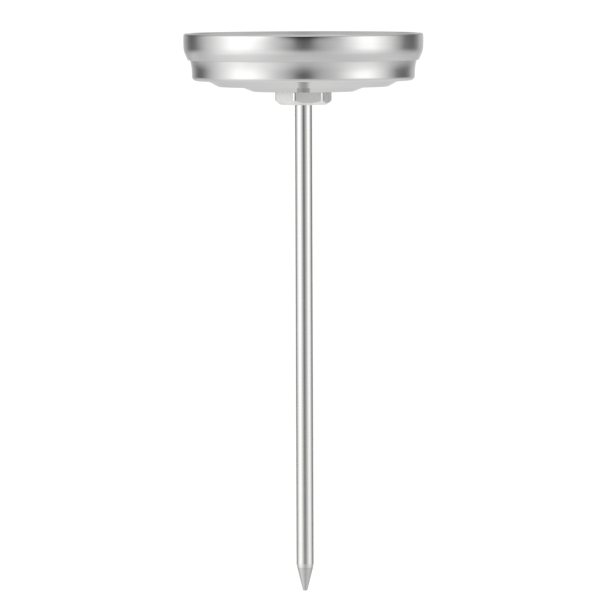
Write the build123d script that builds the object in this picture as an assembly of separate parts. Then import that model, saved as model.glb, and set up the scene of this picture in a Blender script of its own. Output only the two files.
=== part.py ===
from build123d import *
import math
import os

# Bimetal dial thermometer with a pointed stem: a crimped round head, a hex
# that the head turns on for calibration, and a thin stem with a solid tip.
# Millimetres. The stem's axis is Z. The origin is where the stem comes out of
# the hex, on the hex's lower face. The head is above it, the tip below.

# ---- head, outside ----
BEZEL_R = 26.53           # outer radius of the bezel at its fullest
BEZEL_FULL_Z = 14.4       # height of that place: the band is slightly barrelled
BEZEL_TOP_R = 26.46       # outer radius at the top corner
BEZEL_TOP = 15.8          # the flat crest of the bezel
BEZEL_CREST_R = 25.3      # inner edge of the flat crest
BEZEL_TAPER_TOP = 11.9    # where the crimped taper starts
BEZEL_TAPER_R = 26.45     # outer radius there
BEZEL_TAPER_BEND = 4.8    # radius of the bend into the taper
BEZEL_BOTTOM = 9.81       # lower edge of the bezel
BEZEL_FOOT_R = 25.47      # outer radius at the lower edge
BEZEL_LIP_R = 24.3        # the lip's inner edge, round the glass
BEZEL_LIP_Z = 15.0        # the lip slopes down from the crest to here
BEZEL_CORNER = 0.5        # rounding of the bezel's top corner
BEZEL_SHEET = 0.4         # stainless sheet of the bezel
SHEET = 0.5               # stainless sheet of the case

CASE_R = 24.62            # outer radius of the cup's wall
CASE_FLARE_Z = 8.45       # where the wall flares out, in a wide bend
CASE_FLARE_BEND = 10.5    # radius of that bend
CASE_FLARE_R = 25.5       # outer radius where the flare meets the flange
CASE_LOW_R = 24.6         # the wall's radius just above the floor's corner
CASE_CORNER = 1.0         # rounding between cup wall and floor
CASE_FLOOR = 5.31         # underside of the cup's outer floor
STEP1_R = (21.2, 18.8)    # first stamped step: radius at its top and bottom
STEP1_Z = 4.0             # underside of the ring inside the first step
STEP2_R = (13.9, 11.15)   # second stamped step
STEP2_Z = 2.9             # underside of the hub plate
FLANGE_R = 25.70          # the cup's out-turned flange, inside the bezel
FLANGE_TOP = 11.9

# ---- hex and stem ----
HEX_AF = 11.1             # across the flats
HEX_TOP = 2.85            # 0.05 under the hub plate
HEX_EDGE = 0.68           # rounding of the six upright edges
HEX_TURN = 11.2           # direction of one corner, degrees from +X
HEX_CHAMFER_R = 5.06      # radius of the chamfer circle on the lower face
HEX_CHAMFER_H = 1.0       # height of the chamfer at the corners
SPIGOT_R = 3.5            # boss of the hex, through the cup's centre hole
SPIGOT_TOP = 6.2
HUB_HOLE_R = 3.55         # the cup's centre hole: 0.05 running clearance
STEM_R = 1.9              # 3.8 mm stem
STEM_SEAT_R = 1.7         # the stem's end inside the hex, necked down to a shoulder
STEM_BORE_R = 1.55
STEM_NECK_BORE_R = 1.4
STEM_ROUND = -101.55      # where the tube's end starts to draw in
STEM_END = -102.4         # the tube's end, at the tip's shoulder
STEM_END_R = 1.75
TIP_END = -107.5
TIP_FLAT_R = 0.45

# ---- inside ----
SPINDLE_R = 0.45
BUSH_BORE_R = 0.50        # 0.05 running clearance on the spindle
DIAL_Z = 9.5              # underside of the dial plate
DIAL_T = 0.4
DIAL_R = 23.9
LENS_Z = (12.5, 14.1)     # glass, bottom and top
LENS_R = 25.0
POINTER_Z = (11.0, 11.3)
REST_ANGLE = 57.2727      # pointer at 20 C (68 F): degrees to the left of +Y
COIL_Z = (-95.9, -60.9)   # length of the bimetal coil
COIL_MEAN_R = 1.16
COIL_STRIP = (0.30, 0.95) # thickness and width of the strip
COIL_PITCH = 1.75

os.makedirs("parts", exist_ok=True)
NODES = {}


def keep(name, shape):
    NODES[name] = shape


def rounded(points):
    """A closed face in the XZ plane through (r, z) or (r, z, radius) points."""
    n = len(points)
    ends = []
    for i, p in enumerate(points):
        r = p[2] if len(p) > 2 else 0.0
        a, b, c = (Vector(q[0], 0, q[1]) for q in (points[i - 1], p, points[(i + 1) % n]))
        if not r:
            ends.append((b, None, b))
            continue
        u, v = (a - b).normalized(), (c - b).normalized()
        half = math.acos(max(-1.0, min(1.0, u.dot(v)))) / 2
        cut = r / math.tan(half)
        mid = (u + v).normalized()
        centre = b + mid * (r / math.sin(half))
        ends.append((b + u * cut, centre - mid * r, b + v * cut))
    edges = []
    for i in range(n):
        start, through, end = ends[i]
        if through is not None:
            edges.append(ThreePointArc(start, through, end))
        after = ends[(i + 1) % n][0]
        if (after - end).length > 1e-6:
            edges.append(Line(end, after))
    return Face(Wire(edges))


def turned(points):
    """The solid that the profile makes round Z."""
    return revolve(rounded(points), Axis.Z, 360)


def shifted(points, t):
    """Open polyline of (r, z) moved sideways by t to its left, with mitres."""
    moved = []
    for i, (x, z) in enumerate(points):
        dirs = []
        for a, b in ((i - 1, i), (i, i + 1)):
            if a >= 0 and b < len(points):
                dx, dz = points[b][0] - points[a][0], points[b][1] - points[a][1]
                length = math.hypot(dx, dz)
                dirs.append((-dz / length, dx / length))
        nx = sum(d[0] for d in dirs)
        nz = sum(d[1] for d in dirs)
        scale = t / ((nx * dirs[0][0] + nz * dirs[0][1]))
        moved.append((x + nx * scale, z + nz * scale))
    return moved


def disc(r, z0, z1, hole=0.0):
    body = Pos(0, 0, z0) * Cylinder(r, z1 - z0, align=(Align.CENTER, Align.CENTER, Align.MIN))
    if hole:
        body -= Pos(0, 0, z0 - 1) * Cylinder(hole, z1 - z0 + 2, align=(Align.CENTER, Align.CENTER, Align.MIN))
    return body


# ---------------------------------------------------------------- the case
# A stamped cup: hub plate, two shallow conical steps, a flat floor ring, an
# upright wall that flares under the bezel, and a flange turned out at its mouth.
outside = [
    (HUB_HOLE_R, STEP2_Z), (STEP2_R[1], STEP2_Z), (STEP2_R[0], STEP1_Z),
    (STEP1_R[1], STEP1_Z), (STEP1_R[0], CASE_FLOOR), (CASE_LOW_R, CASE_FLOOR),
    (CASE_R, CASE_FLARE_Z), (CASE_FLARE_R, FLANGE_TOP - SHEET), (FLANGE_R, FLANGE_TOP - SHEET),
]
inside = shifted(outside, SHEET)
out_round = [0, 0.35, 0.3, 0.3, 0.3, CASE_CORNER, CASE_FLARE_BEND, 0.05, 0]
in_round = [0, 0.2, 0.4, 0.2, 0.4, CASE_CORNER - SHEET, CASE_FLARE_BEND + SHEET, 0.3, 0]
profile = [(x, z, r) for (x, z), r in zip(outside, out_round)]
profile += [(x, z, r) for (x, z), r in reversed(list(zip(inside, in_round)))]
case = turned(profile)
keep("case", case)

# -------------------------------------------------------------- the bezel
# A spun ring: a lip that slopes up from the glass to a flat crest, a slightly
# barrelled band, then the edge rolled in under the cup's flange, close round
# the cup's flare.
bezel_out = [
    (BEZEL_LIP_R, BEZEL_LIP_Z), (BEZEL_CREST_R, BEZEL_TOP), (BEZEL_TOP_R, BEZEL_TOP),
    (BEZEL_R, BEZEL_FULL_Z), (BEZEL_TAPER_R, BEZEL_TAPER_TOP), (BEZEL_FOOT_R, BEZEL_BOTTOM),
]
bezel_in = shifted(bezel_out, -BEZEL_SHEET)
out_round = [0.12, 0.5, BEZEL_CORNER, 20.0, BEZEL_TAPER_BEND, 0.16]
in_round = [0.12, 0.1, 0.1, 19.6, BEZEL_TAPER_BEND - BEZEL_SHEET, 0.1]
profile = [(x, z, r) for (x, z), r in zip(bezel_out, out_round)]
profile += [(x, z, r) for (x, z), r in reversed(list(zip(bezel_in, in_round)))]
bezel = turned(profile)
keep("bezel", bezel)

# ------------------------------------------------- glass and its channel seal
lens = turned([
    (0, LENS_Z[0]), (LENS_R, LENS_Z[0], 0.15), (LENS_R, LENS_Z[1], 0.15), (0, LENS_Z[1]),
])
keep("lens", lens)

# U-section rubber ring round the glass's edge, squeezed between the cup's
# flange and the bezel's lip.
lens_gasket = turned([
    (23.85, FLANGE_TOP, 0.15), (25.85, FLANGE_TOP, 0.15),
    (25.85, 15.3, 0.1), (25.45, 15.3, 0.1),
    (24.7, 14.68, 0.12), (24.7, LENS_Z[1] + 0.02, 0.05), (LENS_R + 0.03, LENS_Z[1] + 0.02),
    (LENS_R + 0.03, LENS_Z[0] - 0.02), (23.85, LENS_Z[0] - 0.02, 0.15),
])
keep("lens_gasket", lens_gasket)

# --------------------------------------------------------- dial and carrier
# Stamped pan that stands on the cup's floor and carries the dial.
dial_carrier = turned([
    (7.0, DIAL_Z - 0.5), (22.9, DIAL_Z - 0.5, 0.3), (22.9, CASE_FLOOR + SHEET),
    (23.4, CASE_FLOOR + SHEET), (23.4, DIAL_Z, 0.6), (7.0, DIAL_Z),
])
SCREW_X = 9.0
for sx in (-SCREW_X, SCREW_X):
    # extruded collars that take the dial's screws
    dial_carrier += Pos(sx, 0, 0) * disc(1.35, DIAL_Z - 1.5, DIAL_Z - 0.4)
    dial_carrier -= Pos(sx, 0, 0) * disc(0.8, DIAL_Z - 3, DIAL_Z + 1)
keep("dial_carrier", dial_carrier)

dial_plate = disc(DIAL_R, DIAL_Z, DIAL_Z + DIAL_T, hole=2.6)
for sx in (-SCREW_X, SCREW_X):
    dial_plate -= Pos(sx, 0, 0) * disc(0.9, DIAL_Z - 1, DIAL_Z + 2)
keep("dial_plate", dial_plate)

dial_screws = []
for sx in (-SCREW_X, SCREW_X):
    screw = turned([
        (0, DIAL_Z - 1.7), (0.75, DIAL_Z - 1.7, 0.1), (0.75, DIAL_Z + DIAL_T),
        (1.45, DIAL_Z + DIAL_T), (1.45, DIAL_Z + DIAL_T + 0.62, 0.25), (0, DIAL_Z + DIAL_T + 0.62),
    ])
    screw -= Pos(0, 0, DIAL_Z + DIAL_T + 0.62) * Rot(0, 0, 35 if sx < 0 else -20) * Box(3.2, 0.32, 0.6)
    dial_screws.append(Pos(sx, 0, 0) * screw)
keep("dial_screws", Compound(children=dial_screws))

# Ring that holds the dial down, under the glass's seal.
dial_spacer_ring = turned([
    (23.3, DIAL_Z + DIAL_T), (24.05, DIAL_Z + DIAL_T), (24.05, FLANGE_TOP - 0.02, 0.1), (23.3, FLANGE_TOP - 0.02, 0.3),
])
keep("dial_spacer_ring", dial_spacer_ring)

# ---------------------------------------------------------- calibration hex
hex_face = RegularPolygon(HEX_AF / 2, 6, major_radius=False)
corner_r = HEX_AF / 2 / math.cos(math.pi / 6)
prism = extrude(hex_face, HEX_TOP)
prism = fillet(prism.edges().filter_by(Axis.Z), HEX_EDGE)
prism = Rot(0, 0, HEX_TURN) * prism
# turned chamfers take the corners off, deep below and slight above
slope = (corner_r - HEX_CHAMFER_R) / HEX_CHAMFER_H
barrel = turned([
    (0, 0), (HEX_CHAMFER_R, 0), (HEX_CHAMFER_R + slope * 1.2, 1.2),
    (corner_r + 0.6, HEX_TOP - 0.37), (corner_r - 0.28, HEX_TOP), (0, HEX_TOP),
])
hexagon = prism & barrel
spigot = turned([
    (0, 0.5), (SPIGOT_R, 0.5), (SPIGOT_R, SPIGOT_TOP, 0.2), (0, SPIGOT_TOP),
])
calibration_hex = hexagon + spigot
# groove for the seal, groove for the retaining ring, bore for the stem
SEAL_R, SEAL_W = 4.55, 0.45
calibration_hex -= disc(SEAL_R + 0.5, HEX_TOP - 0.92, HEX_TOP + 1, hole=SEAL_R - 0.5) & disc(5.2, HEX_TOP - 0.92, HEX_TOP)
RING_Z = (4.72, 5.32)
calibration_hex -= disc(4.5, RING_Z[0], RING_Z[1], hole=3.15)
calibration_hex -= disc(STEM_SEAT_R, -1, SPIGOT_TOP + 1)
keep("calibration_hex", calibration_hex)

case_seal = Pos(0, 0, HEX_TOP - 0.92 + SEAL_W) * Torus(SEAL_R, SEAL_W)
keep("case_seal", case_seal)

# Friction stack over the cup's hub plate: flat washer, dished spring washer
# and a split ring snapped in the spigot's groove.
thrust_washer = turned([
    (HUB_HOLE_R, STEP2_Z + SHEET + 0.02), (5.6, STEP2_Z + SHEET + 0.02, 0.08),
    (5.6, STEP2_Z + SHEET + 0.42, 0.08), (HUB_HOLE_R, STEP2_Z + SHEET + 0.42),
])
keep("thrust_washer", thrust_washer)
z0 = STEP2_Z + SHEET + 0.44
spring_washer = turned([
    (HUB_HOLE_R + 0.05, z0 + 0.55), (5.4, z0), (5.4, z0 + 0.3), (HUB_HOLE_R + 0.05, z0 + 0.85),
])
keep("spring_washer", spring_washer)
retaining_ring = disc(4.7, RING_Z[0] + 0.02, RING_Z[1] - 0.02, hole=3.17)
retaining_ring -= Pos(0, 5, RING_Z[0]) * Box(1.8, 6, 3)
for side in (-1, 1):
    lug = Pos(side * 1.75, 4.5, 0) * disc(0.85, RING_Z[0] + 0.02, RING_Z[1] - 0.02)
    lug -= Pos(side * 0.4, 5, RING_Z[0]) * Box(1.0, 6, 3)
    retaining_ring += lug
    retaining_ring -= Pos(side * 1.8, 4.55, 0) * disc(0.35, RING_Z[0] - 1, RING_Z[1] + 1)
keep("retaining_ring", retaining_ring)

# -------------------------------------------------------------- stem and tip
# The tube's neck fills the hex's bore, and its shoulder butts against the
# hex's lower face.
stem_tube = turned([
    (STEM_BORE_R, STEM_END), (STEM_END_R, STEM_END), (STEM_R, STEM_ROUND), (STEM_R, 0),
    (STEM_SEAT_R, 0), (STEM_SEAT_R, SPIGOT_TOP), (STEM_NECK_BORE_R, SPIGOT_TOP),
    (STEM_NECK_BORE_R, -1.5), (STEM_BORE_R, -2.0),
])
keep("stem_tube", stem_tube)

SOCKET_R, SOCKET_Z = 0.9, -99.9
stem_tip = turned([
    (0, TIP_END), (TIP_FLAT_R, TIP_END, 0.08), (STEM_END_R - 0.02, STEM_END), (STEM_BORE_R, STEM_END),
    (STEM_BORE_R, -98.15, 0.15), (SOCKET_R, -98.15), (SOCKET_R, SOCKET_Z), (0, SOCKET_Z),
])
keep("stem_tip", stem_tip)

# Stud in the tip's spigot that holds the coil's lower end.
coil_anchor = turned([
    (0, SOCKET_Z), (SOCKET_R, SOCKET_Z), (SOCKET_R, COIL_Z[0] + 0.4, 0.15), (0, COIL_Z[0] + 0.4),
])
keep("coil_anchor", coil_anchor)

# ------------------------------------------------------------- bimetal coil
coil_len = COIL_Z[1] - COIL_Z[0]
path = Pos(0, 0, COIL_Z[0]) * Helix(COIL_PITCH, coil_len, COIL_MEAN_R)
strip = Plane(origin=path @ 0, x_dir=(1, 0, 0), z_dir=path % 0) * Rectangle(*COIL_STRIP)
bimetal_coil = sweep(strip, path=path, is_frenet=True)
keep("bimetal_coil", bimetal_coil)

# ------------------------------------------------- spindle, guides, pointer
SPINDLE_Z = (COIL_Z[1] - 1.6, 11.62)
spindle = turned([
    (0, SPINDLE_Z[0]), (SPINDLE_R, SPINDLE_Z[0], 0.05), (SPINDLE_R, SPINDLE_Z[1], 0.08), (0, SPINDLE_Z[1]),
])
keep("spindle", spindle)

# Collar on the spindle's lower end, inside the coil's last turns.
coil_collar = turned([
    (SPINDLE_R, COIL_Z[1] - 1.9), (0.93, COIL_Z[1] - 1.9, 0.06), (0.93, COIL_Z[1] + 0.65),
    (1.2, COIL_Z[1] + 0.9), (1.2, COIL_Z[1] + 1.5, 0.1), (SPINDLE_R, COIL_Z[1] + 1.5),
])
keep("coil_collar", coil_collar)

lower_bearing = turned([
    (BUSH_BORE_R, -58.0), (1.25, -58.0), (STEM_BORE_R, -57.7), (STEM_BORE_R, -55.3), (1.25, -55.0), (BUSH_BORE_R, -55.0),
])
keep("lower_bearing", lower_bearing)
upper_bearing = turned([
    (BUSH_BORE_R, 3.4), (STEM_NECK_BORE_R, 3.4), (STEM_NECK_BORE_R, SPIGOT_TOP), (2.35, SPIGOT_TOP),
    (2.35, SPIGOT_TOP + 0.45, 0.15), (0.9, SPIGOT_TOP + 0.9, 0.1), (BUSH_BORE_R, SPIGOT_TOP + 0.9),
])
keep("upper_bearing", upper_bearing)

# Turned brass hub: a shoulder under the pointer, a spigot riveted over it.
pointer_hub = turned([
    (SPINDLE_R, POINTER_Z[0] - 0.6), (1.2, POINTER_Z[0] - 0.6, 0.08), (2.1, POINTER_Z[0] - 0.25, 0.05),
    (2.1, POINTER_Z[0]), (1.0, POINTER_Z[0]), (1.0, POINTER_Z[1]),
    (1.35, POINTER_Z[1] + 0.02), (1.2, POINTER_Z[1] + 0.42, 0.12), (SPINDLE_R, POINTER_Z[1] + 0.5),
])
keep("pointer_hub", pointer_hub)

# Flat pointer: a long taper, a round boss and a broad tail.
T = POINTER_Z[1] - POINTER_Z[0]
blade = make_face(Polyline(
    (-0.22, 18.6), (0.22, 18.6), (0.62, 14.5), (1.15, 1.5), (1.15, -1.5),
    (0.95, -4.5), (1.75, -7.4), (-1.75, -7.4), (-0.95, -4.5), (-1.15, -1.5),
    (-1.15, 1.5), (-0.62, 14.5), close=True))
pointer = extrude(blade, T) + Cylinder(2.6, T, align=(Align.CENTER, Align.CENTER, Align.MIN))
pointer -= Pos(0, 0, -1) * Cylinder(1.0, T + 2, align=(Align.CENTER, Align.CENTER, Align.MIN))
pointer = Rot(0, 0, REST_ANGLE) * Pos(0, 0, POINTER_Z[0]) * pointer
keep("pointer", pointer)

for name, shape in NODES.items():
    export_step(shape, f"parts/{name}.step")
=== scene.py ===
import math

import bmesh
import bpy
from mathutils import Matrix, Vector


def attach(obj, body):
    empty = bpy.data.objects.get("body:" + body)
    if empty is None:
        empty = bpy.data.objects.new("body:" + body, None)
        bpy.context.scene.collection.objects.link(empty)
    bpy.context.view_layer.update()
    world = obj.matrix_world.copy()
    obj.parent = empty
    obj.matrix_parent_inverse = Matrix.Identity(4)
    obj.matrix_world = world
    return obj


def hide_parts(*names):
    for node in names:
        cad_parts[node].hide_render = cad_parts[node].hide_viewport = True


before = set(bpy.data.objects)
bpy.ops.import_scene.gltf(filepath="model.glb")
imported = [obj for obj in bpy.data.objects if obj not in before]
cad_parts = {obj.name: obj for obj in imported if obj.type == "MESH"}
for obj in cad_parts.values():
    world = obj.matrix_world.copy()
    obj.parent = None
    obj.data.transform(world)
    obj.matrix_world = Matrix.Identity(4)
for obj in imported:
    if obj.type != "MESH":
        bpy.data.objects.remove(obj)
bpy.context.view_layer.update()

MM = 0.001
scene = bpy.context.scene
scene.view_settings.view_transform = "Standard"
scene.view_settings.look = "None"

# ------------------------------------------------------------------- camera
# A long lens two metres off, just above the bezel's rim.
AWAY, EYE_Z, PITCH = 2.0, 0.0476, math.radians(2.6368)
EYE = Vector((0.00039, -AWAY, EYE_Z))
cam_data = bpy.data.cameras.new("camera")
cam_data.sensor_width = 36.0
cam_data.lens = 532.95
cam_data.clip_start, cam_data.clip_end = 0.05, 60.0
cam = bpy.data.objects.new("camera", cam_data)
scene.collection.objects.link(cam)
cam.rotation_mode = "QUATERNION"
cam.location = EYE
q = Vector((0.0, math.cos(PITCH), -math.sin(PITCH))).to_track_quat("-Z", "Y")
cam.rotation_quaternion = q @ Matrix.Rotation(math.radians(-0.20), 4, "Z").to_quaternion()
scene.camera = cam


# ------------------------------------------------------------ node helpers
class Tree:
    """Short calls for making a node tree."""

    def __init__(self, tree):
        self.t = tree
        tree.nodes.clear()

    def add(self, kind, **values):
        n = self.t.nodes.new(kind)
        for k, v in values.items():
            if hasattr(n, k) and k not in n.inputs:
                setattr(n, k, v)
            else:
                n.inputs[k].default_value = v
        return n

    def link(self, a, b):
        self.t.links.new(a, b)
        return b

    def math(self, op, a, b=0.0, clamp=False):
        n = self.t.nodes.new("ShaderNodeMath")
        n.operation, n.use_clamp = op, clamp
        for i, x in enumerate((a, b)):
            if hasattr(x, "links"):
                self.t.links.new(x, n.inputs[i])
            else:
                n.inputs[i].default_value = x
        return n.outputs[0]

    def ramp(self, fac, stops, mode="LINEAR"):
        n = self.t.nodes.new("ShaderNodeValToRGB")
        n.color_ramp.interpolation = mode
        e = n.color_ramp.elements
        while len(e) > 1:
            e.remove(e[-1])
        for i, (pos, v) in enumerate(stops):
            c = (v, v, v, 1.0) if not hasattr(v, "__len__") else (*v, 1.0)
            if i == 0:
                e[0].position, e[0].color = pos, c
            else:
                e.new(pos).color = c
        self.t.links.new(fac, n.inputs["Fac"])
        return n.outputs["Color"]

    def mix(self, fac, a, b):
        n = self.t.nodes.new("ShaderNodeMix")
        n.data_type = "RGBA"
        for x, s in ((fac, n.inputs["Factor"]), (a, n.inputs["A"]), (b, n.inputs["B"])):
            if hasattr(x, "links"):
                self.t.links.new(x, s)
            else:
                s.default_value = x if not hasattr(x, "__len__") else (*x, 1.0)[:4]
        return n.outputs["Result"]


# ------------------------------------------------- studio: world and floor
# What the steel sees, by direction: azimuth in degrees from the camera (left
# is minus) at a few elevations. A large soft light stands each side of the
# camera, with unlit gaps in front and behind each light, over a white table.
STEEL = 0.57
ROOM = [
    (-70, [(-180, 1.14), (0, 1.06), (180, 1.16)]),
    (-48, [(-180, 1.12), (-134, 1.06), (-110, 1.10), (-95, 1.08), (-60, 1.10), (-38, .98), (-15, .86), (20, .84), (60, .88),
           (95, 1.00), (130, 1.16), (180, 1.12)]),
    (-34, [(-180, 1.16), (-150, 1.06), (-128, .92), (-112, 1.02), (-92, 1.12), (-70, 1.28), (-48, 1.20), (-30, 1.06), (-16, .92),
           (-4, .82), (10, .79), (28, .86), (45, .95), (64, 1.00), (82, .98), (110, .98), (140, 1.12), (180, 1.16)]),
    (-25, [(-180, 1.14), (-150, 1.02), (-134, .88), (-122, .88), (-110, 1.00), (-92, 1.30), (-72, 1.52), (-50, 1.42), (-36, 1.22),
           (-22, 1.0), (-12, .84), (-4, .69), (1, .65), (7, .69), (15, .77), (30, .88), (45, 1.06), (60, 1.22), (76, 1.20),
           (92, 1.00), (108, .90), (125, .92), (142, 1.06), (180, 1.14)]),
    (-15, [(-180, 1.04), (-160, .98), (-148, .98), (-137, .90), (-126, .78), (-116, .82), (-106, .96), (-92, 1.26), (-72, 1.66),
           (-54, 1.60), (-36, 1.20), (-23, .93), (-14, .71), (-7, .50), (0, .38), (6, .44), (13, .60), (24, .76), (36, .93),
           (50, 1.22), (64, 1.44), (78, 1.36), (92, 1.06), (106, .79), (120, .68), (132, .74), (144, .90), (160, 1.03), (180, 1.04)]),
    (-6, [(-165, .86), (-150, .52), (-141, .30), (-132, .26), (-124, .38), (-116, .62), (-106, .92), (-92, 1.24), (-74, 1.78),
          (-56, 1.84), (-42, 1.46), (-30, 1.04), (-19, .75), (-11, .50), (-5, .29), (0, .21), (6, .28), (12, .47), (20, .69),
          (32, .86), (44, 1.18), (58, 1.68), (70, 1.74), (80, 1.46), (92, 1.10), (104, .68), (114, .34), (126, .26), (138, .36),
          (150, .76), (163, .94)]),
    (1, [(-165, .86), (-152, .60), (-144, .30), (-137, .21), (-128, .28), (-118, .60), (-109, .85), (-92, 1.26), (-72, 1.84),
         (-52, 1.90), (-41.5, 1.52), (-31.5, 1.10), (-23.5, .90), (-12.5, .66), (-8, .36), (-4.5, .20), (1, .16), (6, .20),
         (9.5, .39), (15, .64), (34, .88), (46, 1.34), (57, 1.73), (68, 1.83), (81, 1.45), (96, .95), (108.5, .52), (116, .27),
         (132, .22), (142, .48), (152, .92)]),
    (4, [(-165, .86), (-150, .34), (-138, .14), (-126, .28), (-114, .66), (-92, 1.30), (-66, 2.1), (-42, 1.75), (-32, 1.26),
         (-25, .86), (-19, .50), (-13, .17), (-6, .03), (8, .03), (13, .13), (20, .33), (28, .62), (36, .90), (47, 1.42),
         (62, 1.90), (77, 1.55), (91, 1.10), (106, .58), (117, .27), (134, .18), (155, .88)]),
    (24, [(-180, .90), (-150, .50), (-128, .36), (-112, .62), (-92, 1.30), (-60, 2.0), (-42, 1.75), (-33, 1.14), (-26, .62),
          (-19, .28), (-13, .18), (0, .12), (14, .15), (20, .21), (27, .33), (35, .47), (45, .71), (55, .87), (66, .95),
          (90, .80), (115, .40), (140, .32), (180, .90)]),
    (36, [(-180, .86), (-146, .84), (-120, .70), (-80, 1.0), (-50, 1.1), (-25, .70), (0, .58), (25, .60), (55, .80), (90, .75),
          (125, .70), (150, .84), (180, .86)]),
    (50, [(-180, .74), (-146, .86), (-90, .92), (-40, 1.0), (0, 1.0), (40, .98), (90, .92), (146, .86), (180, .74)]),
    (64, [(-180, .63), (-120, .84), (-50, 1.45), (0, 1.65), (50, 1.45), (120, .84), (180, .63)]),
    (76, [(-180, .58), (-90, 1.0), (0, 1.3), (90, 1.0), (180, .58)]),
    (86, [(-180, .60), (0, .80), (180, .60)]),
]
world = bpy.data.worlds.new("studio")
scene.world = world
world.use_nodes = True
w = Tree(world.node_tree)
out = w.add("ShaderNodeOutputWorld")
way = w.add("ShaderNodeTexCoord")
xyz = w.add("ShaderNodeSeparateXYZ")
w.link(way.outputs["Generated"], xyz.inputs[0])
flat = w.add("ShaderNodeCombineXYZ")
w.link(w.math("MULTIPLY", xyz.outputs["Y"], -1.0), flat.inputs["X"])
w.link(xyz.outputs["X"], flat.inputs["Y"])
round_ = w.add("ShaderNodeTexGradient", gradient_type="RADIAL")
w.link(flat.outputs[0], round_.inputs["Vector"])
up = w.math("MULTIPLY", w.math("ARCSINE", xyz.outputs["Z"]), 180.0 / math.pi)
PEAK = 2.5
lit = None
for i, (elevation, stops) in enumerate(ROOM):
    row = w.ramp(round_.outputs["Fac"], [(0.5 + a / 360.0, v / PEAK) for a, v in stops])
    if lit is None:
        lit = row
        continue
    below = ROOM[i - 1][0]
    share = w.math("MULTIPLY", w.math("SUBTRACT", up, below), 1.0 / (elevation - below), clamp=True)
    lit = w.mix(share, lit, row)
seen = w.add("ShaderNodeBackground", Strength=PEAK)
w.link(lit, seen.inputs["Color"])
plain = w.add("ShaderNodeBackground", Color=(1.0, 1.0, 1.0, 1.0), Strength=1.03)
soft = w.add("ShaderNodeBackground", Color=(1.0, 1.0, 1.0, 1.0), Strength=1.12)
path = w.add("ShaderNodeLightPath")
matt = w.add("ShaderNodeMixShader")
w.link(path.outputs["Is Diffuse Ray"], matt.inputs["Fac"])
w.link(seen.outputs[0], matt.inputs[1])
w.link(soft.outputs[0], matt.inputs[2])
either = w.add("ShaderNodeMixShader")
w.link(path.outputs["Is Camera Ray"], either.inputs["Fac"])
w.link(matt.outputs[0], either.inputs[1])
w.link(plain.outputs[0], either.inputs[2])
w.link(either.outputs[0], out.inputs["Surface"])

FLOOR_Z = -0.215
floor_mesh = bpy.data.meshes.new("floor")
fx, fy0, fy1 = 7.0, -7.0, 7.0
floor_mesh.from_pydata(
    [(-fx, fy0, FLOOR_Z), (fx, fy0, FLOOR_Z), (fx, fy1, FLOOR_Z), (-fx, fy1, FLOOR_Z)], [], [(0, 1, 2, 3)]
)
floor = bpy.data.objects.new("floor", floor_mesh)
scene.collection.objects.link(floor)
floor.visible_glossy = False        # the steel sees the world's table instead
floor_mat = bpy.data.materials.new("pale_floor")
floor_mat.use_nodes = True
t = Tree(floor_mat.node_tree)
o = t.add("ShaderNodeOutputMaterial")
top = t.add("ShaderNodeBsdfDiffuse", Color=(0.93, 0.93, 0.93, 1.0))
under = t.add("ShaderNodeBsdfTransparent")
geo = t.add("ShaderNodeNewGeometry")
m = t.add("ShaderNodeMixShader")
t.link(geo.outputs["Backfacing"], m.inputs["Fac"])
t.link(top.outputs[0], m.inputs[1])
t.link(under.outputs[0], m.inputs[2])
t.link(m.outputs[0], o.inputs["Surface"])
floor_mesh.materials.append(floor_mat)


# ---------------------------------------------------------------- materials
def new_material(name):
    mat = bpy.data.materials.new(name)
    mat.use_nodes = True
    tree = Tree(mat.node_tree)
    end = tree.add("ShaderNodeOutputMaterial")
    p = tree.add("ShaderNodeBsdfPrincipled")
    tree.link(p.outputs[0], end.inputs["Surface"])
    return mat, tree, p


def coordinates(t, kind, fine, coarse):
    """Noise coordinates for a finish: lines round Z, lines along Z, or none."""
    tc = t.add("ShaderNodeTexCoord")
    sep = t.add("ShaderNodeSeparateXYZ")
    t.link(tc.outputs["Object"], sep.inputs[0])
    x, y, z = sep.outputs
    joined = t.add("ShaderNodeCombineXYZ")
    if kind == "turned":
        flat = t.add("ShaderNodeCombineXYZ")
        t.link(x, flat.inputs[0])
        t.link(y, flat.inputs[1])
        far = t.add("ShaderNodeVectorMath", operation="LENGTH")
        t.link(flat.outputs[0], far.inputs[0])
        # turned off the noise's own grid, whose even spacing would show as bands
        out_, up_ = t.math("MULTIPLY", far.outputs["Value"], fine), t.math("MULTIPLY", z, fine)
        t.link(t.math("ADD", t.math("MULTIPLY", out_, 0.83), t.math("MULTIPLY", up_, 0.41)), joined.inputs[0])
        t.link(t.math("SUBTRACT", t.math("MULTIPLY", up_, 0.79), t.math("MULTIPLY", out_, 0.37)), joined.inputs[1])
        round_z = t.math("ADD", t.math("MULTIPLY", out_, 0.42), t.math("MULTIPLY", up_, 0.46))
        t.link(t.math("ADD", t.math("MULTIPLY", t.math("ADD", x, y), coarse), round_z), joined.inputs[2])
    elif kind == "drawn":
        t.link(t.math("MULTIPLY", x, fine), joined.inputs[0])
        t.link(t.math("MULTIPLY", y, fine), joined.inputs[1])
        t.link(t.math("MULTIPLY", z, coarse), joined.inputs[2])
    else:
        for i, s in enumerate((x, y, z)):
            t.link(t.math("MULTIPLY", s, fine), joined.inputs[i])
    return tc, joined.outputs[0]


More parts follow.
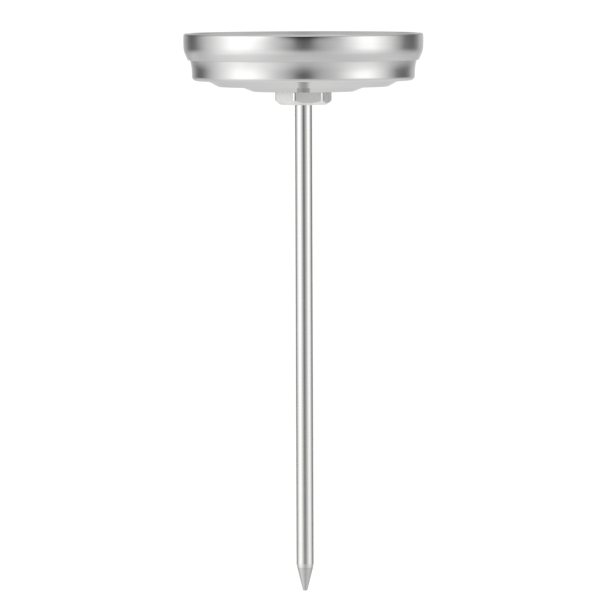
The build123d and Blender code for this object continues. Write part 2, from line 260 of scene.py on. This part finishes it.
def metal(name, colour, rough, kind="turned", fine=5200.0, coarse=70.0, vary=0.05, lines=0.05,
          spread=0.05, bump=0.10, depth=0.000004, detail=3.0, edge=0.72, scuffed=0.0):
    """A worked metal: fine lines in its shine and height, slow patches, and wear that grows down the stem."""
    mat, t, p = new_material(name)
    tc, v = coordinates(t, kind, fine, coarse)
    streak = t.add("ShaderNodeTexNoise", Scale=1.0, Detail=detail, Roughness=0.6)
    t.link(v, streak.inputs["Vector"])
    patch = t.add("ShaderNodeTexNoise", Scale=170.0, Detail=4.0, Roughness=0.55)
    t.link(tc.outputs["Object"], patch.inputs["Vector"])
    # colour: base, a little lighter and darker by streak and by patch
    both = t.math("ADD", t.math("MULTIPLY", streak.outputs["Fac"], 0.6), t.math("MULTIPLY", patch.outputs["Fac"], 0.4))
    dark = tuple(c * (1 - vary) for c in colour)
    light = tuple(min(1.0, c * (1 + vary)) for c in colour)
    t.link(t.ramp(both, [(0.30, dark), (0.5, colour), (0.70, light)]), p.inputs["Base Color"])
    r = t.math("ADD", t.math("MULTIPLY", t.math("SUBTRACT", streak.outputs["Fac"], 0.5), lines * 2),
               t.math("MULTIPLY", t.math("SUBTRACT", patch.outputs["Fac"], 0.5), spread * 2))
    if scuffed:
        at = t.add("ShaderNodeSeparateXYZ")
        t.link(tc.outputs["Object"], at.inputs[0])
        down = t.math("MULTIPLY", at.outputs["Z"], -1.0 / 0.1024, clamp=True)
        r = t.math("ADD", r, t.math("MULTIPLY", down, scuffed))
    t.link(t.math("ADD", r, rough, clamp=True), p.inputs["Roughness"])
    b = t.add("ShaderNodeBump", Strength=bump, Distance=depth)
    t.link(streak.outputs["Fac"], b.inputs["Height"])
    t.link(b.outputs[0], p.inputs["Normal"])
    p.inputs["Metallic"].default_value = 1.0
    p.inputs["Specular Tint"].default_value = (edge, edge, edge, 1.0)
    return mat


def coated(name, colour, rough, scale=900.0, vary=0.04, bump=0.15, depth=0.00002, specular=0.5, metallic=0.0):
    """Paint, print, rubber or plastic: a fine grain and slow patches."""
    mat, t, p = new_material(name)
    tc, v = coordinates(t, "plain", scale, scale)
    grain = t.add("ShaderNodeTexNoise", Scale=1.0, Detail=4.0, Roughness=0.6)
    t.link(v, grain.inputs["Vector"])
    patch = t.add("ShaderNodeTexNoise", Scale=120.0, Detail=3.0, Roughness=0.5)
    t.link(tc.outputs["Object"], patch.inputs["Vector"])
    dark = tuple(c * (1 - vary) for c in colour)
    light = tuple(min(1.0, c * (1 + vary)) for c in colour)
    both = t.math("ADD", t.math("MULTIPLY", grain.outputs["Fac"], 0.5), t.math("MULTIPLY", patch.outputs["Fac"], 0.5))
    t.link(t.ramp(both, [(0.3, dark), (0.5, colour), (0.7, light)]), p.inputs["Base Color"])
    r = t.math("MULTIPLY", t.math("SUBTRACT", grain.outputs["Fac"], 0.5), 0.16)
    t.link(t.math("ADD", r, rough, clamp=True), p.inputs["Roughness"])
    b = t.add("ShaderNodeBump", Strength=bump, Distance=depth)
    t.link(grain.outputs["Fac"], b.inputs["Height"])
    t.link(b.outputs[0], p.inputs["Normal"])
    p.inputs["Specular IOR Level"].default_value = specular
    p.inputs["Metallic"].default_value = metallic
    return mat


def clear_glass(name):
    """Flat polished instrument glass: clear, with a mirror at low angles."""
    mat = bpy.data.materials.new(name)
    mat.use_nodes = True
    t = Tree(mat.node_tree)
    end = t.add("ShaderNodeOutputMaterial")
    tc = t.add("ShaderNodeTexCoord")
    film = t.add("ShaderNodeTexNoise", Scale=90.0, Detail=5.0, Roughness=0.6)
    t.link(tc.outputs["Object"], film.inputs["Vector"])
    through = t.add("ShaderNodeBsdfTransparent", Color=(0.975, 0.985, 0.98, 1.0))
    shine = t.add("ShaderNodeBsdfGlossy", Color=(1.0, 1.0, 1.0, 1.0))
    r = t.ramp(film.outputs["Fac"], [(0.42, 0.0), (0.62, 0.022)])
    t.link(r, shine.inputs["Roughness"])
    f = t.add("ShaderNodeFresnel", IOR=1.45)
    side = t.add("ShaderNodeNewGeometry")       # the mirror is on the outer faces only, so the pane stays clear
    outer = t.math("MULTIPLY", f.outputs[0], t.math("SUBTRACT", 1.0, side.outputs["Backfacing"]))
    m = t.add("ShaderNodeMixShader")
    t.link(outer, m.inputs["Fac"])
    t.link(through.outputs[0], m.inputs[1])
    t.link(shine.outputs[0], m.inputs[2])
    t.link(m.outputs[0], end.inputs["Surface"])
    return mat


G = STEEL
MAT = {
    "sheet": metal("satin_sheet_steel", (G, G, G * 0.995), 0.115, "turned", 5200, 55, 0.035, 0.030, 0.030, 0.05, 0.000003),
    "stem": metal("bright_stem_steel", (G + 0.035, G + 0.035, G + 0.03), 0.17, "turned", 3800, 60, 0.03, 0.030, 0.030, 0.04, 0.000003,
                  edge=1.0, scuffed=0.14),
    "tip": metal("ground_tip_steel", (0.53, 0.53, 0.525), 0.50, "drawn", 3000, 1200, 0.09, 0.06, 0.05, 0.25, 0.00001),
    "hex": metal("milled_hex_steel", (G + 0.29, G + 0.29, G + 0.285), 0.57, "drawn", 4200, 900, 0.07, 0.06, 0.06, 0.30, 0.00001),
    "hex_edge": metal("burnished_hex_edge", (G + 0.04, G + 0.04, G + 0.035), 0.045, "drawn", 4200, 300, 0.05, 0.04, 0.04, 0.05, 0.000003),
    "spring": metal("spring_steel", (0.42, 0.42, 0.43), 0.28, "turned", 4000, 300, 0.08, 0.05, 0.05, 0.15, 0.00001),
    "screw": metal("plated_screw", (0.60, 0.60, 0.59), 0.20, "plain", 1500, 1500, 0.06, 0.05, 0.05, 0.15, 0.00001),
    "aluminium": metal("pressed_aluminium", (0.74, 0.74, 0.75), 0.34, "plain", 2600, 2600, 0.05, 0.06, 0.05, 0.15, 0.00001),
    "brass": metal("turned_brass", (0.74, 0.55, 0.27), 0.22, "turned", 4200, 120, 0.07, 0.05, 0.05, 0.18, 0.00001),
    "bimetal": metal("bimetal_strip", (0.47, 0.42, 0.36), 0.30, "turned", 2600, 400, 0.12, 0.06, 0.06, 0.12, 0.00001),
    "glass": clear_glass("instrument_glass"),
    "rubber": coated("black_rubber", (0.022, 0.022, 0.023), 0.62, 1600, 0.20, 0.25, 0.00003, 0.35),
    "plastic_black": coated("black_ring_plastic", (0.030, 0.030, 0.032), 0.46, 1300, 0.12, 0.20, 0.00002, 0.45),
    "plastic_pale": coated("pale_bearing_plastic", (0.78, 0.76, 0.70), 0.48, 900, 0.05, 0.15, 0.00002, 0.45),
    "enamel": coated("dial_enamel", (0.86, 0.86, 0.84), 0.40, 1500, 0.012, 0.08, 0.00001, 0.5),
    "ink_black": coated("print_black", (0.020, 0.020, 0.022), 0.52, 2400, 0.25, 0.20, 0.00001, 0.4),
    "ink_red": coated("print_red", (0.50, 0.030, 0.022), 0.52, 2400, 0.12, 0.20, 0.00001, 0.4),
    "ink_blue": coated("print_blue", (0.05, 0.20, 0.50), 0.52, 2400, 0.12, 0.20, 0.00001, 0.4),
    "ink_green": coated("print_green", (0.06, 0.33, 0.10), 0.52, 2400, 0.12, 0.20, 0.00001, 0.4),
    "ink_amber": coated("print_amber", (0.80, 0.36, 0.03), 0.52, 2400, 0.12, 0.20, 0.00001, 0.4),
    "pointer": coated("pointer_paint", (0.016, 0.016, 0.017), 0.34, 1300, 0.20, 0.12, 0.00001, 0.5),
}


# ------------------------------------------------------------ mesh helpers
def add_object(name, mesh, mat, body, slot, *nodes, sharp=28.0):
    obj = bpy.data.objects.new(name, mesh)
    scene.collection.objects.link(obj)
    mesh.materials.append(MAT[mat])
    if sharp is not None:
        mesh.shade_smooth()
        mesh.set_sharp_from_angle(angle=math.radians(sharp))
    if nodes:
        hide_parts(*nodes)
    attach(obj, body)
    return obj


def rounded(points, step=4.0):
    """(r, z) points, or (r, z, radius) where the corner is rounded, as a finely stepped loop in metres."""
    n, loop = len(points), []
    for i, p in enumerate(points):
        r = p[2] if len(p) > 2 else 0.0
        a, b, c = (Vector((s[0], s[1])) for s in (points[i - 1], p, points[(i + 1) % n]))
        if not r:
            loop.append(b)
            continue
        u, v = (a - b).normalized(), (c - b).normalized()
        half = math.acos(max(-1.0, min(1.0, u.dot(v)))) / 2
        cut = r / math.tan(half)
        centre = b + (u + v).normalized() * (r / math.sin(half))
        start, end = b + u * cut - centre, b + v * cut - centre
        turn = math.pi - 2 * half
        k = max(2, math.ceil(math.degrees(turn) / step))
        sign = 1 if start.x * end.y - start.y * end.x > 0 else -1
        for j in range(k + 1):
            q = sign * turn * j / k
            loop.append(centre + Vector((start.x * math.cos(q) - start.y * math.sin(q), start.x * math.sin(q) + start.y * math.cos(q))))
    return [Vector((p.x * MM, p.y * MM)) for p in loop]


def split_long(loop, longest):
    """Adds points on long straight stretches, so that the mesh has even faces."""
    made = []
    for i, a in enumerate(loop):
        b = loop[(i + 1) % len(loop)]
        made.append(a)
        if a.x < 1e-9 and b.x < 1e-9:
            continue
        k = int((b - a).length / longest)
        for j in range(1, k + 1):
            made.append(a.lerp(b, j / (k + 1)))
    return made


def lathe_mesh(name, points, seg=256, longest=None, turn=0.0):
    loop = rounded(points)
    if longest:
        loop = split_long(loop, longest)
    bm = bmesh.new()
    rings = []
    for p in loop:
        if p.x < 1e-8:
            rings.append([bm.verts.new((0, 0, p.y))])
        else:
            rings.append([
                bm.verts.new((p.x * math.cos(turn + 2 * math.pi * k / seg), p.x * math.sin(turn + 2 * math.pi * k / seg), p.y))
                for k in range(seg)
            ])
    for i, a in enumerate(rings):
        b = rings[(i + 1) % len(rings)]
        if len(a) == 1 and len(b) == 1:
            continue
        for k in range(seg):
            k2 = (k + 1) % seg
            if len(a) == 1:
                bm.faces.new((a[0], b[k], b[k2]))
            elif len(b) == 1:
                bm.faces.new((a[k], b[0], a[k2]))
            else:
                bm.faces.new((a[k], b[k], b[k2], a[k2]))
    bmesh.ops.recalc_face_normals(bm, faces=bm.faces)
    mesh = bpy.data.meshes.new(name)
    bm.to_mesh(mesh)
    bm.free()
    return mesh


def lathe(name, points, mat, body, slot, *nodes, seg=256, longest=None, sharp=28.0):
    return add_object(name, lathe_mesh(name, points, seg, longest), mat, body, slot, *nodes, sharp=sharp)


# ---------------------------------------------------- head: bezel and case
def shifted(points, t):
    moved = []
    for i, (x, z) in enumerate(points):
        dirs = []
        for a, b in ((i - 1, i), (i, i + 1)):
            if a >= 0 and b < len(points):
                dx, dz = points[b][0] - points[a][0], points[b][1] - points[a][1]
                length = math.hypot(dx, dz)
                dirs.append((-dz / length, dx / length))
        nx, nz = sum(d[0] for d in dirs), sum(d[1] for d in dirs)
        s = t / (nx * dirs[0][0] + nz * dirs[0][1])
        moved.append((x + nx * s, z + nz * s))
    return moved


bezel_out = [(24.3, 15.0), (25.3, 15.8), (26.46, 15.8), (26.53, 14.4), (26.45, 11.9), (25.47, 9.81)]
bezel_in = shifted(bezel_out, -0.4)
rad_out, rad_in = [0.12, 0.5, 0.5, 20.0, 4.8, 0.16], [0.12, 0.1, 0.1, 19.6, 4.4, 0.1]
lathe("bezel_ring", [(x, z, r) for (x, z), r in zip(bezel_out, rad_out)]
      + [(x, z, r) for (x, z), r in reversed(list(zip(bezel_in, rad_in)))],
      "sheet", "head", "brushed_steel", "bezel", seg=360)

case_out = [(3.55, 2.9), (11.15, 2.9), (13.9, 4.0), (18.8, 4.0), (21.2, 5.31), (24.6, 5.31),
            (24.62, 8.45), (25.5, 11.4), (25.70, 11.4)]
case_in = shifted(case_out, 0.5)
rad_out, rad_in = [0, 0.35, 0.3, 0.3, 0.3, 1.0, 10.5, 0.05, 0], [0, 0.2, 0.4, 0.2, 0.4, 0.5, 11.0, 0.3, 0]
lathe("case_cup", [(x, z, r) for (x, z), r in zip(case_out, rad_out)]
      + [(x, z, r) for (x, z), r in reversed(list(zip(case_in, rad_in)))],
      "sheet", "head", "brushed_steel", "case", seg=360)

lathe("window_glass", [(0, 12.5), (25.0, 12.5, 0.15), (25.0, 14.1, 0.15), (0, 14.1)],
      "glass", "head", "glass", "lens", seg=256)
lathe("window_gasket", [(23.85, 11.9, 0.15), (25.85, 11.9, 0.15), (25.85, 15.3, 0.1), (25.45, 15.3, 0.1),
                        (24.7, 14.68, 0.12), (24.7, 14.12, 0.05), (25.03, 14.12), (25.03, 12.48), (23.85, 12.48, 0.15)],
      "rubber", "head", "black_rubber", "lens_gasket", seg=256)
lathe("dial_ring", [(23.3, 9.9), (24.05, 9.9), (24.05, 11.88, 0.1), (23.3, 11.88, 0.3)],
      "plastic_black", "head", "ring_black", "dial_spacer_ring", seg=256)

# ---------------------------------------------------------- stem and tip
lathe("stem_rod", [(1.55, -102.4), (1.75, -102.4, 0.02), (1.9, -101.55, 0.5), (1.9, 0), (1.7, 0), (1.7, 6.2),
                   (1.4, 6.2), (1.4, -1.5), (1.55, -2.0)],
      "stem", "probe", "polished_steel", "stem_tube", seg=96, longest=0.006)
lathe("stem_point", [(0, -107.5), (0.45, -107.5, 0.14), (1.73, -102.4, 0.03), (1.55, -102.4), (1.55, -98.15, 0.15),
                     (0.9, -98.15), (0.9, -99.9), (0, -99.9)],
      "tip", "probe", "ground_steel", "stem_tip", seg=96, longest=0.0008)


# -------------------------------------------------------------- the hex nut
def hex_nut():
    """Hexagon with rounded upright edges and turned chamfers, a spigot above it and a bore through it."""
    af, edge, top, turn = 11.1, 0.68, 2.85, math.radians(11.2)
    corner = af / 2 / math.cos(math.pi / 6)
    bevel_r, bevel_h = 5.06, 1.0
    slope = (corner - bevel_r) / bevel_h
    reach = corner - edge / math.cos(math.pi / 6)
    # outline: for each corner an arc, between corners a flat, all as (angle, radius) samples
    outline = []
    arc_n, flat_n = 9, 14
    for k in range(6):
        mid = math.pi / 3 * k
        centre = Vector((reach * math.cos(mid), reach * math.sin(mid)))
        for j in range(arc_n + 1):
            a = mid - math.pi / 6 + math.pi / 3 * j / arc_n
            outline.append(centre + Vector((edge * math.cos(a), edge * math.sin(a))))
        last = outline[-1]
        nxt = math.pi / 3 * (k + 1)
        c2 = Vector((reach * math.cos(nxt), reach * math.sin(nxt)))
        a2 = nxt - math.pi / 6
        first = c2 + Vector((edge * math.cos(a2), edge * math.sin(a2)))
        for j in range(1, flat_n):
            outline.append(last.lerp(first, j / flat_n))
    n = len(outline)
    radius = [p.length for p in outline]
    angle = [math.atan2(p.y, p.x) + turn for p in outline]

    bm = bmesh.new()

    def ring(rs, zs):
        return [bm.verts.new((r * math.cos(a) * MM, r * math.sin(a) * MM, z * MM)) for r, a, z in zip(rs, angle, zs)]

    even = lambda r, z: ring([r] * n, [z] * n)
    ease = 0.07  # the chamfers' own edges are a little broken
    low_z = [max(0.0, (r - bevel_r) / slope) for r in radius]
    top_z = [top - max(0.0, (r - (corner - 0.28)) * 0.42) for r in radius]
    rings = [
        even(1.9, 0.0),
        even(3.4, 0.0),
        even(bevel_r - 0.06, 0.0),
        ring([bevel_r + 0.03] * n, [0.02] * n),
        ring([r - 0.45 * (r - bevel_r) for r in radius], [z - 0.45 * z for z in low_z]),
        ring([r - 0.05 for r in radius], [max(0.0, z - 0.05 / slope) for z in low_z]),
        ring(radius, [z + ease for z in low_z]),
        ring(radius, [0.5 * (a + ease + b) for a, b in zip(low_z, top_z)]),
        ring(radius, [z - 0.05 for z in top_z]),
        ring([r - 0.07 for r in radius], [z - 0.004 for z in top_z]),
        even(5.2, top),
        even(5.05, top), even(5.05, top - 0.92), even(4.05, top - 0.92), even(4.05, top),
        even(3.5, top), even(3.5, 4.72), even(3.15, 4.72), even(3.15, 5.32), even(3.5, 5.32),
        even(3.5, 6.05), even(3.35, 6.2), even(1.7, 6.2), even(1.7, 0.0),
    ]
    side = range(6, 8)  # from the chamfers' upper edge to just below the top
    for i, a in enumerate(rings):
        b = rings[(i + 1) % len(rings)]
        for k in range(n):
            k2 = (k + 1) % n
            face = bm.faces.new((a[k], a[k2], b[k2], b[k]))
            if i in side and k % (arc_n + flat_n) < arc_n:
                face.material_index = 1
    bmesh.ops.remove_doubles(bm, verts=bm.verts, dist=1e-7)
    bmesh.ops.recalc_face_normals(bm, faces=bm.faces)
    mesh = bpy.data.meshes.new("hex_nut")
    bm.to_mesh(mesh)
    bm.free()
    return mesh


nut = add_object("hex_nut", hex_nut(), "hex", "probe", "machined_steel", "calibration_hex", sharp=24.0)
nut.data.materials.append(MAT["hex_edge"])

# ------------------------------------------------- dial and its print
DIAL_TOP = 9.9
lathe("dial_face", [(2.6, 9.5), (23.9, 9.5, 0.05), (23.9, 9.9, 0.08), (2.6, 9.9, 0.05)],
      "enamel", "head", "dial_white", "dial_plate", seg=256, longest=0.002)

SWEEP, LOWEST_F, HIGHEST_F = 300.0, 0.0, 220.0


def clock_f(f):
    """Degrees clockwise from 12 o'clock for a Fahrenheit reading."""
    return -SWEEP / 2 + SWEEP * (f - LOWEST_F) / (HIGHEST_F - LOWEST_F)


def clock_c(c):
    return clock_f(c * 1.8 + 32.0)


def polar(clock, r):
    a = math.radians(90.0 - clock)
    return Vector((r * math.cos(a), r * math.sin(a)))


PRINT = 0.014  # thickness of the print, mm, on a hair's gap above the enamel


def slab(bm, loop, z0=DIAL_TOP + 0.003, z1=DIAL_TOP + 0.003 + PRINT):
    """A closed prism over a convex loop of (x, y) in mm."""
    low = [bm.verts.new((p[0] * MM, p[1] * MM, z0 * MM)) for p in loop]
    up = [bm.verts.new((p[0] * MM, p[1] * MM, z1 * MM)) for p in loop]
    bm.faces.new(up)
    bm.faces.new(low[::-1])
    n = len(loop)
    for k in range(n):
        bm.faces.new((low[k], low[(k + 1) % n], up[(k + 1) % n], up[k]))


def tick(bm, clock, r0, r1, width):
    out_, along = polar(clock, 1.0), polar(clock + 90.0, 1.0)
    slab(bm, [out_ * r0 - along * width / 2, out_ * r0 + along * width / 2,
              out_ * r1 + along * width / 2, out_ * r1 - along * width / 2][::-1])


def arc_band(bm, c0, c1, r0, r1, step=1.5):
    """A flat ring sector of print, as one closed strip."""
    k = max(2, math.ceil((c1 - c0) / step))
    z0, z1 = (DIAL_TOP + 0.003) * MM, (DIAL_TOP + 0.003 + PRINT) * MM
    cols = []
    for j in range(k + 1):
        c = c0 + (c1 - c0) * j / k
        a, b = polar(c, r0), polar(c, r1)
        cols.append([bm.verts.new((a.x * MM, a.y * MM, z)) for z in (z0, z1)]
                    + [bm.verts.new((b.x * MM, b.y * MM, z)) for z in (z1, z0)])
    for j in range(k):
        a, b = cols[j], cols[j + 1]
        for s in range(4):
            s2 = (s + 1) % 4
            bm.faces.new((a[s], a[s2], b[s2], b[s]))
    bm.faces.new(cols[0][::-1])
    bm.faces.new(cols[-1])


def print_object(name, build, mat, slot="dial_white"):
    bm = bmesh.new()
    build(bm)
    bmesh.ops.recalc_face_normals(bm, faces=bm.faces)
    mesh = bpy.data.meshes.new(name)
    bm.to_mesh(mesh)
    bm.free()
    return add_object(name, mesh, mat, "head", slot, sharp=None)


def fahrenheit_scale(bm):
    for f in range(0, 221, 2):
        if f % 20 == 0:
            tick(bm, clock_f(f), 19.5, 22.0, 0.34)
        elif f % 10 == 0:
            tick(bm, clock_f(f), 20.2, 22.0, 0.22)
        else:
            tick(bm, clock_f(f), 21.0, 22.0, 0.12)
    arc_band(bm, clock_f(0), clock_f(220), 22.0, 22.12)


def celsius_scale(bm):
    for c in range(-16, 105, 2):
        if c % 10 == 0:
            tick(bm, clock_c(c), 12.9, 14.5, 0.22)
        else:
            tick(bm, clock_c(c), 13.75, 14.5, 0.11)
    arc_band(bm, clock_c(-16), clock_c(104), 14.5, 14.6)


print_object("scale_fahrenheit", fahrenheit_scale, "ink_black")
print_object("scale_celsius", celsius_scale, "ink_red")
for zone, (f0, f1, ink) in {
    "zone_cold": (32, 50, "ink_blue"), "zone_good": (50, 86, "ink_green"), "zone_warm": (86, 104, "ink_amber"),
}.items():
    print_object(zone, lambda bm, f0=f0, f1=f1: arc_band(bm, clock_f(f0) + 0.15, clock_f(f1) - 0.15, 22.32, 23.05), ink)


def lettering(name, items, mat):
    """Text set flat on the dial: (words, x, y, height) in mm, centred on the point."""
    made = bmesh.new()
    for words, x, y, high in items:
        curve = bpy.data.curves.new("set_" + name, "FONT")
        curve.body = words
        curve.align_x, curve.align_y = "CENTER", "CENTER"
        curve.size = high * MM / 0.70
        curve.resolution_u = 8
        curve.extrude = PRINT / 2 * MM
        holder = bpy.data.objects.new("set_" + name, curve)
        scene.collection.objects.link(holder)
        bpy.context.view_layer.update()
        mesh = bpy.data.meshes.new_from_object(holder.evaluated_get(bpy.context.evaluated_depsgraph_get()))
        # centre on the letters' own box, so that descenders and accents don't shift them
        xs, ys = [v.co.x for v in mesh.vertices], [v.co.y for v in mesh.vertices]
        cx, cy = (min(xs) + max(xs)) / 2, (min(ys) + max(ys)) / 2
        mesh.transform(Matrix.Translation((x * MM - cx, y * MM - cy, (DIAL_TOP + 0.003 + PRINT / 2) * MM)))
        made.from_mesh(mesh)
        bpy.data.objects.remove(holder)
        bpy.data.curves.remove(curve)
        bpy.data.meshes.remove(mesh)
    bmesh.ops.remove_doubles(made, verts=made.verts, dist=1e-8)
    mesh = bpy.data.meshes.new(name)
    made.to_mesh(mesh)
    made.free()
    return add_object(name, mesh, mat, "head", "dial_white", sharp=None)


lettering("numbers_fahrenheit", [(str(f), *polar(clock_f(f), 17.1), 2.1) for f in range(0, 221, 20)], "ink_black")
lettering("numbers_celsius", [(str(c), *polar(clock_c(c), 11.6), 1.3) for c in range(-10, 101, 10)], "ink_red")
lettering("unit_fahrenheit", [("\u00b0F", 0.0, -17.1, 2.4)], "ink_black")
lettering("unit_celsius", [("\u00b0C", 0.0, -11.6, 1.7)], "ink_red")

# ----------------------------------------------- what stays as the CAD has it
FINISH = {
    "dial_carrier": "aluminium", "dial_screws": "screw", "case_seal": "rubber", "thrust_washer": "plastic_pale",
    "spring_washer": "spring", "retaining_ring": "spring", "coil_anchor": "screw", "bimetal_coil": "bimetal",
    "spindle": "screw", "coil_collar": "brass", "lower_bearing": "plastic_pale", "upper_bearing": "plastic_pale",
    "pointer_hub": "brass", "pointer": "pointer",
}
for node, finish in FINISH.items():
    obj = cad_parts[node]
    obj.data.materials.clear()
    obj.data.materials.append(MAT[finish])
